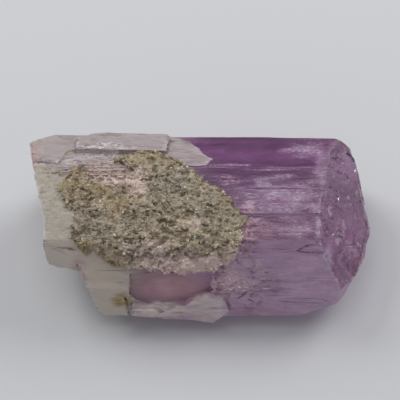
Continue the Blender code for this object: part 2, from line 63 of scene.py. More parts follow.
# White veils of fine cracks
FROST = [
    ((16.0, 3.0, 21.0), (9.5, 4.2, 3.0), 1.00),
    ((17.0, -0.5, 21.0), (9.0, 3.0, 3.0), 0.80),
    ((21.5, 13.0, 20.4), (5.4, 2.2, 3.0), 0.85),
    ((24.4, 8.5, 20.4), (1.6, 7.0, 2.6), 0.70),
    ((20.0, -5.0, 20.0), (4.4, 2.4, 2.0), 0.90),
    ((12.0, -4.6, 20.0), (7.0, 1.8, 2.0), 0.45),
    ((23.3, -4.0, 20.0), (0.8, 3.8, 2.0), 1.00),
    ((25.3, -9.6, 16.5), (1.2, 2.8, 3.2), 1.00),
    ((28.1, -4.0, 15.5), (1.0, 1.4, 1.6), 0.90),
    ((30.2, -5.6, 13.3), (1.0, 1.4, 1.8), 0.90),
    ((28.9, -2.0, 16.0), (0.8, 0.9, 1.2), 0.80),
    ((31.8, 3.0, 14.5), (0.8, 5.0, 3.0), 0.40),
    ((5.5, 9.3, 20.9), (5.0, 0.35, 1.0), 0.90),
    ((13.5, 8.1, 20.9), (5.5, 0.30, 1.0), 0.70),
    ((29.7, 13.6, 17.8), (1.6, 1.8, 2.0), 0.80),
    ((28.5, 8.0, 18.5), (4.0, 8.0, 4.0), 0.30),
    ((-21.0, 11.4, 20.6), (7.4, 1.3, 1.4), 1.00),
    ((-30.5, 9.7, 20.9), (4.0, 0.8, 1.4), 0.90),
    ((-26.5, 8.6, 20.9), (2.2, 1.2, 1.4), 0.80),
    ((16.0, -12.0, 14.0), (9.0, 3.4, 4.0), 0.60),
    ((21.0, -15.0, 8.0), (7.0, 3.0, 4.0), 0.60),
]
# Pale chips broken out of the end face
PALE_CHIPS = [
    ((28.2, -5.2, 16.4), (1.3, 1.7, 1.6), 1.0),
    ((30.6, -5.5, 14.1), (1.1, 1.6, 1.5), 0.9),
    ((26.0, 0.1, 19.2), (0.5, 0.9, 0.9), 1.0),
    ((25.3, -5.0, 19.0), (0.5, 0.9, 0.9), 0.8),
    ((29.0, -1.7, 16.2), (0.6, 0.9, 0.9), 0.9),
    ((32.2, -4.4, 12.6), (0.7, 1.0, 1.2), 0.8),
    ((31.6, 1.6, 14.6), (0.5, 0.8, 0.9), 0.8),
]
# Rough ground where grains have come away, or the crystal has crumbled
ROUGH = [
    ((7.0, -13.0, 13.0), (5.4, 3.4, 4.2), 1.0),
    ((9.0, -7.0, 19.0), (2.6, 4.0, 3.0), 0.7),
    ((-19.5, 8.0, 20.9), (8.0, 3.0, 1.6), 1.0),
    ((-14.0, 6.8, 20.9), (3.6, 2.6, 1.6), 1.0),
    ((-6.0, -13.0, 16.0), (10.0, 1.6, 2.0), 0.6),
    ((-33.6, 11.5, 20.6), (1.8, 3.4, 3.0), 0.8),
    ((12.5, -12.8, 12.8), (4.6, 3.0, 3.6), 0.45),
    ((10.5, -16.0, 6.0), (4.6, 2.4, 2.4), 0.45),
    ((-28.5, 7.8, 20.9), (2.6, 1.6, 1.5), 0.6),
    ((9.8, -1.0, 20.5), (1.8, 4.0, 2.0), 0.8),
    ((5.5, 5.6, 21.0), (3.0, 1.4, 2.0), 0.7),
]
# The white, splintered edge below the sheets
FRACTURE = [
    ((-19.5, 12.9, 20.9), (6.8, 1.8, 1.6), 1.0),
    ((-26.0, 10.4, 20.9), (2.6, 1.3, 1.4), 0.9),
    ((-30.8, 9.8, 20.9), (3.6, 0.5, 1.4), 0.9),
    ((-27.2, -8.7, 18.3), (3.2, 0.4, 0.8), 0.8),
]
# The splintery ledge under the window
SPLINTERED = [
    ((1.2, -15.4, 8.8), (4.6, 1.8, 2.8), 1.0),
    ((-7.5, -16.2, 6.8), (7.0, 2.2, 3.2), 1.0),
    ((1.5, -16.5, 6.5), (4.5, 2.4, 3.6), 1.0),
]
# Rose tint
ROSE = [
    ((-19.5, 8.2, 20.9), (7.5, 2.8, 1.6), 0.5),
    ((-14.0, 7.4, 20.9), (2.5, 2.0, 1.6), 0.8),
    ((-5.5, -13.0, 11.0), (8.5, 3.0, 5.0), 1.0),
    ((-24.0, -10.5, 13.0), (2.4, 2.5, 5.0), 0.9),
    ((3.6, -12.6, 13.6), (2.4, 3.0, 3.4), 0.6),
    ((9.5, -15.8, 6.6), (4.0, 2.4, 2.4), 0.7),
    ((-34.0, 10.0, 19.5), (2.0, 6.0, 4.0), 0.8),
    ((-31.8, -5.0, 18.5), (1.2, 4.0, 3.0), 0.6),
    ((32.8, -6.6, 9.5), (2.5, 3.0, 3.0), 0.6),
    ((12.0, -5.0, 19.8), (8.0, 2.5, 2.0), 0.6),
]
# The yellow stain on the pale block
IRON_STAIN = [((-15.3, -15.4, 8.9), (2.2, 2.2, 2.6), 1.0)]
# The smooth window broken into the front
WINDOW = [((-5.6, -12.8, 10.6), (8.6, 2.4, 4.0), 1.0)]
# Steps of the plain solid that are shallower on the finished crystal
FILLED_UP = [
    ((-19.5, 8.3, 20.9), (9.0, 3.4, 2.0), 1.0),
    ((-14.0, 6.6, 20.9), (5.0, 3.4, 2.0), 1.0),
    ((22.0, -6.5, 18.8), (5.0, 3.2, 3.0), 1.0),
    ((0.0, 17.5, 10.0), (45.0, 5.0, 9.0), 0.6),
]
PINK_PATCH = FILLED_UP[:2]
# The crevice beside the pale block
CREVICE = [((-14.3, -14.5, 5.0), (1.3, 3.6, 6.0), 1.0)]
# Small pale grains lie on this ground
GRAINY_GROUND = [
    ((7.5, -13.0, 13.0), (5.0, 3.4, 4.0), 1.0),
    ((3.0, -16.6, 4.6), (5.0, 1.6, 1.6), 0.8),
]
# Tones of the crust
BROWN_CRUST = [
    ((-20.7, 2.8, 21.5), (4.5, 2.4, 3.0), 1.0),
    ((-16.7, -0.4, 21.5), (3.0, 2.0, 3.0), 0.8),
    ((-25.8, 4.5, 21.5), (2.6, 4.0, 3.0), 0.9),
    ((-8.9, 10.4, 21.5), (5.5, 2.0, 3.0), 0.8),
    ((-17.5, -10.6, 17.5), (3.2, 2.0, 3.0), 0.9),
    ((-23.0, -8.6, 19.0), (2.4, 1.6, 3.0), 1.0),
    ((6.0, 1.0, 21.5), (4.0, 3.0, 3.0), 0.5),
]
GREY_CRUST = [
    ((-5.8, 3.6, 21.5), (6.0, 5.0, 3.0), 1.0),
    ((0.5, 0.5, 21.5), (5.0, 3.0, 3.0), 0.8),
    ((3.0, -4.5, 21.5), (5.0, 4.0, 3.0), 0.6),
    ((-20.5, -5.5, 21.5), (4.5, 3.5, 3.0), 0.8),
    ((-12.5, -4.0, 21.5), (4.0, 2.0, 3.0), 0.9),
]
PINK_CRUST = [
    ((-17.0, 5.5, 21.5), (5.0, 1.8, 3.0), 0.9),
    ((-12.5, 5.0, 21.5), (2.5, 3.5, 3.0), 0.7),
    ((-3.5, -12.0, 17.0), (12.5, 3.0, 3.6), 1.0),
    ((-10.0, -9.0, 19.6), (6.0, 2.0, 3.0), 0.6),
    ((-1.0, -4.4, 21.5), (1.6, 1.6, 2.0), 0.5),
    ((6.6, -10.0, 18.0), (3.0, 2.5, 3.0), 0.7),
]
# The corners of the crystal's section along Y and Z, from the front foot up, over the top and down the back
SIDES = [
    (-16.175, 4.0),
    (-14.275, 12.0),
    (-7.375, 20.0),
    (-2.075, 20.4),
    (-1.875, 21.0),
    (8.825, 21.0),
    (16.625, 19.8),
    (17.425, 3.0),
    (13.825, 0.0),
]
# The side that the pale sheets lie on, and where they end along X
SHEETS_LIE_ON = (SIDES[5], SIDES[6])
SHEETS_END = 3.2
# The broken ends lie beyond these places along X
LEFT_BREAK, RIGHT_BREAK = -29.0, 22.0
# A point of the violet end's own face, and the way it faces
END_FACE_PLACE = (24.0, 0.0, 21.0)
END_FACE_WAY = (0.661, -0.124, 0.740)
# How deep the crevice stays, and how deep a growth step may be to fade out
CREVICE_DEPTH = 0.4
FILLED_DEPTH = 0.6
# The crust's grains, on it and round its edge, the longest edge of its skin, and how far its rim is worn down
GRAINS_ON_TOP, GRAINS_AT_EDGE = 8300, 1200
SKIN_EDGE = 0.70
RIM_WORN = 0.55
# Halving stops when fewer edges than this are too long
FEW_EDGES = 30
# Turns the lattice of the noise, so that its cells don't line up with the crystal
TURNED = np.array([(0.36, 0.48, -0.80), (-0.80, 0.60, 0.0), (0.48, 0.64, 0.60)])


# Numbers and noise


def linear(tone):
    """An sRGB hex value as a linear colour."""
    parts = [int(tone[start : start + 2], 16) / 255 for start in (0, 2, 4)]
    return (*[part / 12.92 if part <= 0.04045 else ((part + 0.055) / 1.055) ** 2.4 for part in parts], 1.0)


def scattered(cells, seed):
    """A number from 0 to 1 for each cell of a lattice, the same in every run."""
    cells = cells.astype(np.int64)
    mixed = cells[:, 0] * 73856093 ^ cells[:, 1] * 19349663 ^ cells[:, 2] * 83492791 ^ (seed + 1) * 49979687
    for factor in (0x45D9F3B, 0x119DE1F3):
        mixed &= 0xFFFFFFFF
        mixed = (mixed ^ mixed >> 16) * factor
    mixed &= 0xFFFFFFFF
    return (mixed ^ mixed >> 16) / 0xFFFFFFFF


def noise(places, seed=0):
    """Smooth noise from 0 to 1 with features one unit wide."""
    base = np.floor(places)
    part = places - base
    part = part * part * (3 - 2 * part)
    total = np.zeros(len(places))
    for corner in np.ndindex(2, 2, 2):
        weight = np.prod(np.where(corner, part, 1 - part), axis=1)
        total += weight * scattered(base + corner, seed)
    return total


def layered(places, layers, seed=0):
    """Noise with finer and weaker noise on it, from 0 to 1."""
    total, strength, whole = np.zeros(len(places)), 1.0, 0.0
    for layer in range(layers):
        places = places @ TURNED
        total += strength * noise(places * 2.03**layer, seed + layer)
        whole += strength
        strength *= 0.5
    return total / whole


def facets(places, seed, tilt=0.6):
    """Flat tilted facets with steps between them, one unit wide: their height at each place, from about 0 to
    1, and a number of their own."""
    base = np.floor(places)
    nearest = np.full(len(places), 9.0)
    home, off = base.copy(), base.copy()
    for corner in np.ndindex(3, 3, 3):
        cell = base + corner - 1
        here = places - cell - np.stack([scattered(cell, seed + axis) for axis in range(3)], axis=1)
        away = (here**2).sum(axis=1)
        closer = away < nearest
        nearest[closer], home[closer], off[closer] = away[closer], cell[closer], here[closer]
    slope = np.stack([scattered(home, seed + 3 + axis) - 0.5 for axis in range(3)], axis=1)
    return scattered(home, seed + 6) + (off * slope).sum(axis=1) * tilt, scattered(home, seed + 7)


def fade(low, high, values):
    """0 up to low, 1 from high and a smooth way between."""
    share = np.clip((values - low) / (high - low), 0, 1)
    return share * share * (3 - 2 * share)


def spots(points, places, uneven=0.35, seed=50, soft=0.6):
    """How strongly each point lies in the places of a list, with uneven edges."""
    total = np.zeros(len(points))
    wander = layered(points / (2.2, 1.1, 1.1), 4, seed) - 0.5 if uneven else 0.0
    for middle, reach, strength in places:
        away = np.linalg.norm((points - middle) / reach, axis=1)
        total = np.maximum(total, strength * (1 - fade(1.15 - soft, 1.15, away + wander * uneven * 2.4)))
    return total


# Meshes


def shape_of(name):
    """A CAD node's points in millimetres and its triangles, with points that share a place made one."""
    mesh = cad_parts[name].data
    points = np.empty(len(mesh.vertices) * 3)
    mesh.vertices.foreach_get("co", points)
    mesh.calc_loop_triangles()
    faces = np.empty(len(mesh.loop_triangles) * 3, np.int64)
    mesh.loop_triangles.foreach_get("vertices", faces)
    points = points.reshape(-1, 3)
    _, first, which = np.unique(np.round(points, 7), axis=0, return_index=True, return_inverse=True)
    return points[first] / MM, which.reshape(-1)[faces].reshape(-1, 3)


def refined(points, faces, reach):
    """The mesh with its edges halved until hardly any is longer than the reach along X, Y and Z at its
    middle."""
    while True:
        sides = np.sort(faces[:, [0, 1, 1, 2, 2, 0]].reshape(-1, 2), axis=1)
        keys, which = np.unique(sides[:, 0] * len(points) + sides[:, 1], return_inverse=True)
        pairs = np.stack([keys // len(points), keys % len(points)], axis=1)
        ends = points[pairs]
        middles = ends.mean(axis=1)
        long = np.linalg.norm((ends[:, 1] - ends[:, 0]) / reach(middles), axis=1) > 1
        if long.sum() < FEW_EDGES:
            return points, faces
        made = np.full(len(pairs), -1)
        made[long] = len(points) + np.arange(long.sum())
        points = np.vstack([points, middles[long]])
        halves = made[which.reshape(-1)].reshape(-1, 3)
        count = (halves >= 0).sum(axis=1)
        parts = [faces[count == 0]]
        for turn in range(3):
            a, b, c = np.roll(faces, -turn, axis=1).T
            ab, bc, ca = np.roll(halves, -turn, axis=1).T
            one = (count == 1) & (ab >= 0)
            two = (count == 2) & (ca < 0)
            to_a, to_c = points[a] - points[bc], points[ab] - points[c]
            short = np.linalg.norm(to_a, axis=1) < np.linalg.norm(to_c, axis=1)
            every = (count == 3) & (turn == 0)
            for chosen, corners in (
                (one, (a, ab, c)),
                (one, (ab, b, c)),
                (two, (ab, b, bc)),
                (two & short, (a, ab, bc)),
                (two & short, (a, bc, c)),
                (two & ~short, (a, ab, c)),
                (two & ~short, (ab, bc, c)),
                (every, (a, ab, ca)),
                (every, (ab, b, bc)),
                (every, (ca, bc, c)),
                (every, (ab, bc, ca)),
            ):
                parts.append(np.stack(corners, axis=1)[chosen])
        faces = np.vstack(parts)


def corners_and_ways(points, faces):
    """Each triangle's three corners, and the way it faces, as long as twice its area."""
    a, b, c = (points[faces[:, corner]] for corner in range(3))
    return (a, b, c), np.cross(b - a, c - a)


def unit(ways):
    """The same ways, one unit long."""
    return ways / np.maximum(np.linalg.norm(ways, axis=1, keepdims=True), 1e-12)


def facings(points, faces):
    """The way that the surface faces at each point."""
    ways = corners_and_ways(points, faces)[1]
    total = [sum(np.bincount(corner, way, len(points)) for corner in faces.T) for way in ways.T]
    return unit(np.stack(total, axis=1))


def smoothed(values, faces, rounds):
    """Values at points, each averaged with its neighbours a number of times."""
    first, second = faces[:, [0, 1, 2]].reshape(-1), faces[:, [1, 2, 0]].reshape(-1)
    size = len(values)
    count = np.bincount(first, minlength=size) + np.bincount(second, minlength=size)
    for _ in range(rounds):
        total = np.bincount(first, values[second], size) + np.bincount(second, values[first], size)
        values = (values + total / np.maximum(count, 1)) / 2
    return values


def evened(points, faces, rounds):
    """The points, each moved to the middle of its neighbours a number of times."""
    return np.stack([smoothed(points[:, axis], faces, rounds) for axis in range(3)], axis=1)


def ridges(points, faces):
    """How far each point stands out of its neighbours: over 0 on an edge, under 0 in a groove."""
    return ((points - evened(points, faces, 2)) * facings(points, faces)).sum(axis=1)


def nearest_finder(points, chosen):
    """A tree that finds the nearest of the chosen points."""
    tree = KDTree(len(points))
    for index in chosen:
        tree.insert(points[index], index)
    tree.balance()
    return tree


def made_object(name, points, faces, values, crisp=None):
    """An object with the mesh and its named values at points. Crisp is the angle over which an edge shows
    sharp, and without it the object is all flat facets."""
    mesh = bpy.data.meshes.new(name)
    mesh.vertices.add(len(points))
    mesh.vertices.foreach_set("co", (points * MM).astype(np.float32).ravel())
    mesh.loops.add(faces.size)
    mesh.loops.foreach_set("vertex_index", faces.astype(np.int32).ravel())
    mesh.polygons.add(len(faces))
    mesh.polygons.foreach_set("loop_start", np.arange(0, faces.size, 3, dtype=np.int32))
    mesh.update(calc_edges=True)
    mesh.validate()
    for key, numbers in values.items():
        mesh.attributes.new(key, "FLOAT", "POINT").data.foreach_set("value", numbers.astype(np.float32))
    if crisp is None:
        mesh.shade_flat()
    else:
        mesh.shade_smooth()
        mesh.set_sharp_from_angle(angle=math.radians(crisp))
    made = bpy.data.objects.new(name, mesh)
    bpy.context.scene.collection.objects.link(made)
    return made


# Materials


def add(tree, kind, settings=None, inputs=None):
    """Adds a shader node with its settings. An input is given a value, or the output that it is linked to."""
    made = tree.nodes.new(kind)
    for key, value in (settings or {}).items():
        setattr(made, key, value)
    for key, value in (inputs or {}).items():
        if isinstance(value, bpy.types.NodeSocket):
            tree.links.new(value, made.inputs[key])
        else:
            made.inputs[key].default_value = value
    return made


def new_material(name):
    """A material and its node tree, which is empty."""
    made = bpy.data.materials.new(name)
    made.use_nodes = True
    made.node_tree.nodes.clear()
    return made, made.node_tree


def patterns(tree, sizes):
    """Patterns by name: "Noise" for clouds, or "Voronoi" for flakes that each have a tone of their own. Each
    has the size of its features in millimetres along X, Y and Z, its detail and roughness, and what turns into
    0 and 1."""
    place = add(tree, "ShaderNodeTexCoord").outputs["Object"]
    made = {}
    for name, (kind, size, detail, rough, low, high) in sizes.items():
        steps = [1.0 / (extent * MM) for extent in size]
        scaled = add(tree, "ShaderNodeVectorMath", {"operation": "MULTIPLY"}, {0: place, 1: steps})
        settings = {"Vector": scaled.outputs[0], "Scale": 1.0, "Detail": detail, "Roughness": rough}
        texture = add(tree, "ShaderNodeTex" + kind, None, settings)
        limits = {0: texture.outputs["Fac" if kind == "Noise" else "Color"], 1: low, 2: high}
        made[name] = add(tree, "ShaderNodeMapRange", {"interpolation_type": "SMOOTHSTEP"}, limits).outputs[0]
    return made


def under_layers(tree, colour, values, layers):
    """The colour under layers of other tones. How much of each shows is the product of what follows it, which
    is named values and numbers."""
    for tone, *parts in layers:
        share = 1.0
        for part in parts:
            factors = {0: share, 1: values.get(part, part)}
            share = add(tree, "ShaderNodeMath", {"operation": "MULTIPLY"}, factors).outputs[0]
        tones = {0: share, 6: colour, 7: linear(tone)}
        colour = add(tree, "ShaderNodeMix", {"data_type": "RGBA"}, tones).outputs[2]
    return colour


def kunzite(names):
    """Kunzite, the violet kind of spodumene, as it grew and broke: clear violet glassy depth at one end,
    pale grey-green and pink at the other, white veils of cracks, and fine growth lines that give a satin
    gloss. Its IOR is the mineral's own. Many real lines and cracks are too fine to show, so they are drawn as
    coarse as the picture needs. The names are those of the values that the crystal holds."""
    made, tree = new_material("kunzite_striated_crystal")
    values = {}
    for name in names:
        values[name] = add(tree, "ShaderNodeAttribute", {"attribute_name": name}).outputs["Fac"]
    values |= patterns(
        tree,
        {
            # Grey-green and pale patches of the mineral, and streaks and clouds along its growth
            "mottle": ("Noise", (1.3, 0.8, 0.8), 4.0, 0.65, 0.30, 0.70),
            "streaks": ("Noise", (5.0, 0.45, 0.45), 4.0, 0.60, 0.34, 0.70),
            "clouds": ("Noise", (3.4, 1.6, 1.6), 5.0, 0.62, 0.30, 0.68),
            # Small cracks, painted glints along the growth lines, splinters and crumbled grit
            "flecks": ("Noise", (0.8, 0.26, 0.26), 3.0, 0.70, 0.44, 0.66),
            "painted_glint_lines": ("Noise", (2.6, 0.18, 0.18), 2.0, 0.60, 0.60, 0.70),
            "shreds": ("Noise", (2.4, 0.35, 0.35), 3.0, 0.70, 0.36, 0.62),
            "grit": ("Noise", (0.45, 0.35, 0.35), 2.0, 0.70, 0.38, 0.62),
            # Growth lines, milk in the depth, and cleavage flakes of different tones
            "fine_lines": ("Noise", (3.0, 0.16, 0.16), 3.0, 0.60, 0.0, 1.0),
            "milk": ("Noise", (6.0, 2.2, 2.2), 5.0, 0.65, 0.40, 0.62),
            "flakes": ("Voronoi", (3.2, 0.9, 0.9), 1.0, 0.50, 0.35, 0.75),
        },
    )
    colour = under_layers(
        tree,
        linear("8F8972"),
        values,
        (
            # The pale end
            ("CDC4B4", "mottle"),
            ("D4CABA", "flakes", 0.45),
            # Painted light: a lighter tone on the faces towards the front
            ("F2E4D2", "front", 0.85),
            # The thin sheets
            ("9F8E8D", "sheet", 0.95),
            ("D8CACA", "sheet", "streaks", 0.35),
            ("D8CACA", "sheet", "flakes", 0.50),
            # The rose tint, and the violet end, deep and milky
            ("DDB8B8", "rose", 0.8),
            ("B46FB0", "violet"),
            ("D3A6CA", "violet", "streaks", 0.75),
            ("D9808C", "rose", "violet", 0.8),
            ("A352A6", "deep", 0.85),
            ("C482C6", "deep", "milk", 0.45),
            # The faces towards the front, with a lighter tone painted on as painted light, the window and the
            # end face
            ("F8DAF2", "front", "violet", 0.76),
            ("8A5796", "front", "violet", "milk", 0.45),
            ("F0DCEC", "front", "violet", "flecks", 0.35),
            ("D69CA2", "window", 0.75),
            ("EFC6C8", "window", "clouds", 0.75),
            ("D6AED0", "end", 0.75),
            ("D9BBD4", "violet", "flakes", 0.22),
            # Splinters, veils, chips, painted glint lines, rough breaks, the stain, painted shade in the
            # grooves and painted highlights along the edges
            ("F6DED8", "splintered", 0.95),
            ("FFF6F2", "splintered", "shreds", 0.9),
            ("C7AFCC", "frost", "clouds", 0.85),
            ("E6DAE8", "frost", "flecks", 0.65),
            ("D8B2C6", "chip", 0.75),
            ("F0E0E8", "chip", "flecks", 0.60),
            # Painted glints: thin light lines along the growth
            ("E8DADF", "painted_glint_lines", 0.45),
            ("DCC6C2", "rough", "grit", 0.9),
            ("F2EAE8", "fracture", "grit", 0.6),
            ("E9DCDC", "fracture", 0.7),
            ("A98C24", "stain", 0.80),
            ("6E5A2C", "stain", "flecks", 0.50),
            # Painted shade in the grooves
            ("6A5064", "painted_groove_shade", 0.30),
            # Painted highlight along the ridges and sharp edges
            ("F2E9EE", "painted_edge_highlight", 0.7),
        ),
    )
    veil = add(tree, "ShaderNodeMath", {"operation": "MULTIPLY"}, {0: values["frost"], 1: values["flecks"]})
    cloudy = add(tree, "ShaderNodeMath", {"operation": "MAXIMUM"}, {0: veil.outputs[0], 1: values["cloudy"]})
    clear = add(tree, "ShaderNodeMapRange", None, {0: cloudy.outputs[0], 3: 0.84, 4: 0.10})
    gloss = add(tree, "ShaderNodeMapRange", None, {0: cloudy.outputs[0], 3: 0.13, 4: 0.52})
    satin = add(
        tree,
        "ShaderNodeMath",
        {"operation": "MULTIPLY_ADD"},
        {0: values["streaks"], 1: 0.10, 2: gloss.outputs[0]},
    )
    lines = add(
        tree,
        "ShaderNodeBump",
        None,
        {"Height": values["fine_lines"], "Strength": 0.35, "Distance": 0.06 * MM},
    )
    crumbs = add(
        tree,
        "ShaderNodeBump",
        None,
        {
            "Height": values["grit"],
            "Strength": cloudy.outputs[0],
            "Distance": 0.05 * MM,
            "Normal": lines.outputs[0],
        },
    )
    surface = add(
        tree,
        "ShaderNodeBsdfPrincipled",
        None,
        {
            "Base Color": colour,
            "Roughness": satin.outputs[0],
            "IOR": 1.66,
            "Transmission Weight": clear.outputs[0],
            "Normal": crumbs.outputs[0],
        },
    )
    depth = add(tree, "ShaderNodeVolumeAbsorption", None, {"Color": linear("CB70C4"), "Density": 24.0})
    ends = {"Surface": surface.outputs[0], "Volume": depth.outputs[0]}
    add(tree, "ShaderNodeOutputMaterial", None, ends)
    return made


def granular_mica(names):
    """Mica and feldspar grains grown together: matt olive-grey and beige grains, painted shade in the pits
    between them, and here and there a flat flake that glints, glossy and painted near white as a glint. The
    names are those of the values that the crust holds."""
    made, tree = new_material("granular_mica_crust")
    values = {}
    for name in names:
        values[name] = add(tree, "ShaderNodeAttribute", {"attribute_name": name}).outputs["Fac"]
    values |= patterns(tree, {"speckle": ("Noise", (0.2, 0.2, 0.2), 2.0, 0.6, 0.3, 0.7)})
    colour = under_layers(
        tree,
        linear("98886F"),
        values,
        (
            ("DDCDB4", "tone"),
            # Pale grains, and the shining grains painted near white as glints
            ("F2EDE3", "pale_grains_and_painted_glints"),
            ("9C8450", "brown", 0.40),
            ("9A968A", "grey", 0.40),
            ("FBE2DE", "pink", 0.74),
            ("5B4E3C", "speckle", 0.12),
            # Painted shade in the pits, together with the real dark speck grains
            ("3C3124", "shaded_pits_and_dark_specks", 0.9),
        ),
    )
    gloss = add(tree, "ShaderNodeMapRange", None, {0: values["shine"], 3: 0.72, 4: 0.22})
    bump = add(
        tree,
        "ShaderNodeBump",
        None,
        {"Height": values["speckle"], "Strength": 0.4, "Distance": 0.05 * MM},
    )
    surface = add(
        tree,
        "ShaderNodeBsdfPrincipled",
        None,
        {"Base Color": colour, "Roughness": gloss.outputs[0], "IOR": 1.58, "Normal": bump.outputs[0]},
    )
    add(tree, "ShaderNodeOutputMaterial", None, {"Surface": surface.outputs[0]})
    return made


# The crystal


def marked_places(points):
    """How strongly each point lies in the deep violet, rough, splintered, broken and chipped places."""
    return (
        spots(points, DEEP, seed=70),
        spots(points, ROUGH, uneven=0.7, seed=61),
        spots(points, SPLINTERED, seed=65),
        spots(points, FRACTURE, uneven=0.5, seed=85),
        spots(points, PALE_CHIPS, uneven=0.4, seed=97, soft=0.3),
    )


def crystal_mesh(points, faces):
    """The crystal's surface with its finer growth lines, ledges, splinters and rough breaks, and how sharp
    the plain solid's edges are there."""

    def reach(middles):
        broken = (middles[:, 0] > RIGHT_BREAK) | (middles[:, 0] < LEFT_BREAK)
        crumbly = spots(middles, ROUGH + FRACTURE, uneven=0.0) > 0.3
        hidden = middles[:, 2] < 0.05
        along = np.where(crumbly, 0.62, np.where(broken, 0.80, 2.3))
        across = np.where(hidden, 2.2, np.where(broken, 0.70, 0.52))
        return np.stack([np.where(hidden, 2.4, along), across, across], axis=1)

    low, high = points.min(axis=0), points.max(axis=0)
    points, faces = refined(points, faces, reach)
    out = facings(points, faces)
    end = fade(0.30, 0.55, np.abs(out[:, 0]))
    window = spots(points, WINDOW, uneven=0.1)
    sharp = fade(0.05, 0.2, ridges(points, faces))
    points = points + filled(points, out, (1 - end) * (1 - window))
    worn = (1 - end) * fade(0.3, 1.5, points[:, 2])
    pale = fade(-17.0, -23.0, points[:, 0]) * (points[:, 1] < 8.0)
    hollow = spots(points, FILLED_UP, uneven=0.15, seed=75) * (1 - on_sheets(points))
    # Worn a little all over, most at the pale end and in the hollows
    for rounds, share in ((2, worn * (1 - 0.7 * sharp)), (10, worn * pale * 0.8), (5, worn * hollow * 0.9)):
        points = points + (evened(points, faces, rounds) - points) * share[:, None]

    out = facings(points, faces)
    deep, rough, splintered, fracture, chip = marked_places(points)
    calm = (1 - 0.85 * deep) * (1 - 0.6 * pale)
    sheet = on_sheets(points)
    patchy = fade(0.3, 0.7, layered(points / (7.0, 3.0, 3.0), 3, 150))
    off_the_table = fade(0.0, 0.4, points[:, 2])
    ledges = facets(points / (7.0, 1.0, 1.0), 100, 0.5)[0]
    splinters = facets(points / (3.2, 0.45, 0.45), 120, 0.8)[0]
    lines = layered(points / (5.0, 0.3, 0.3), 3, 140)
    breaks = facets(points / (3.6, 2.2, 2.2), 160, 0.9)[0]
    chips = facets(points / (0.9, 0.8, 0.8), 180, 0.9)[0]
    grit = facets(points / 0.5, 200, 1.2)[0]
    long_splinters = facets(points / (2.6, 0.6, 0.6), 220, 1.1)[0]
    grown = ((ledges * 0.07 + splinters * 0.06) * patchy + lines * 0.03) * (1 - 0.8 * rough)
    broken = breaks * 0.22 + chips * 0.09 + lines * 0.01
    depth = (grown * calm * (1 - end) + broken * end) * (1 - 0.85 * window)
    depth += (rough + fracture) * (grit * 0.22 + chips * 0.35) + splintered * long_splinters * 0.40
    depth += sheet * (breaks * 0.08 + chips * 0.12)
    depth += chip * 0.30
    points = points - out * (depth * off_the_table)[:, None]
    return np.clip(points, low, high), faces, sharp


def filled(points, out, share):
    """How far to move each point out to the crystal's plain sides, where the growth steps fade out in
    patches."""
    patchy = fade(0.42, 0.62, layered(points / (7.0, 3.0, 3.0), 3, 250))
    patchy = np.maximum(patchy, fade(-19.0, -25.0, points[:, 0]) * 0.85)
    patchy = np.maximum(patchy, spots(points, DEEP, seed=70))
    shallow = spots(points, FILLED_UP, uneven=0.15, seed=75)
    patchy = np.maximum(patchy, shallow)
    crevice = spots(points, CREVICE, uneven=0.0) > 0.5
    moved = np.zeros_like(points)
    for start, end in zip(SIDES, SIDES[1:]):
        along = np.array([end[0] - start[0], end[1] - start[1]])
        length = np.linalg.norm(along)
        along /= length
        facing = np.array([-along[1], along[0]])
        off = points[:, 1:] - start
        place, depth = off @ along, -(off @ facing)
        here = (place > 0) & (place < length) & (depth > 0) & (out[:, 1:] @ facing > 0.4)
        weight = here * share * patchy * (1 - fade(0.35, FILLED_DEPTH, depth / (1 + 9 * shallow)))
        moved[:, 1:] += facing * (depth * weight)[:, None]
        if start == SIDES[0]:
            hole = crevice * (place > 0.3) * (depth < 4) * (1 - weight)
            moved[:, 1:] += facing * (np.maximum(depth - CREVICE_DEPTH, 0) * hole)[:, None]
    return moved


def end_face(points):
    """1 on the end face at the violet end, 0 elsewhere."""
    x, y, z = (points - END_FACE_PLACE).T
    along, across, up = END_FACE_WAY
    return fade(-1.2, -0.7, along * x + across * y + up * z)


def on_sheets(points):
    """1 where the thin pale sheets lie on the back of the top, 0 elsewhere."""
    (y0, z0), (y1, z1) = SHEETS_LIE_ON
    x, y, z = points.T
    above = ((y - y0) * (z0 - z1) + (z - z0) * (y1 - y0)) / math.hypot(y1 - y0, z1 - z0)
    return fade(0.10, 0.30, above) * (y > y0 - 0.5) * (x < SHEETS_END)


